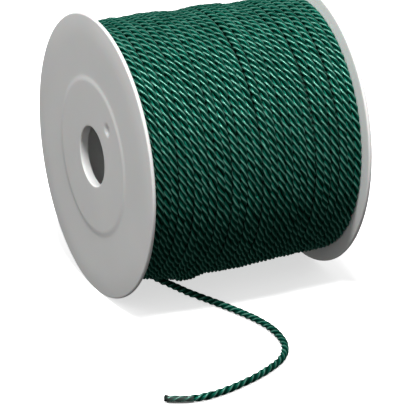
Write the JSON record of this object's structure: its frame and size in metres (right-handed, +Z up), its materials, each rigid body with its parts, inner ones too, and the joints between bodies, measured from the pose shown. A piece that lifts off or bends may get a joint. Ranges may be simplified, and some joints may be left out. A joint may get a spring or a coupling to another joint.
{
  "type": "satin cord on a spool",
  "caption": "Twisted satin cord wound in level turns on a flanged hollow plastic spool, its taped loose end lying in front.",
  "frame": {"origin": "on the surface the spool rests on, below the middle of the spool's axis", "axes": "+X along the spool's axis from the left flange to the right one, +Z up, -Y toward the side where the loose end lies"},
  "size_m": [0.0992, 0.1514, 0.0997],
  "materials": {
    "spool_plastic": "moulded, smooth, slightly soft gloss",
    "satin_cord": "satin yarn, lustrous along the strands",
    "clear_tape": "clear tape over green cord, greyish"
  },
  "bodies": {
    "root": {"flange_left": "spool_plastic", "flange_right": "spool_plastic", "core_tube": "spool_plastic", "winding": "satin_cord", "loose_end": "satin_cord", "end_tape": "clear_tape"}
  },
  "joints": []
}
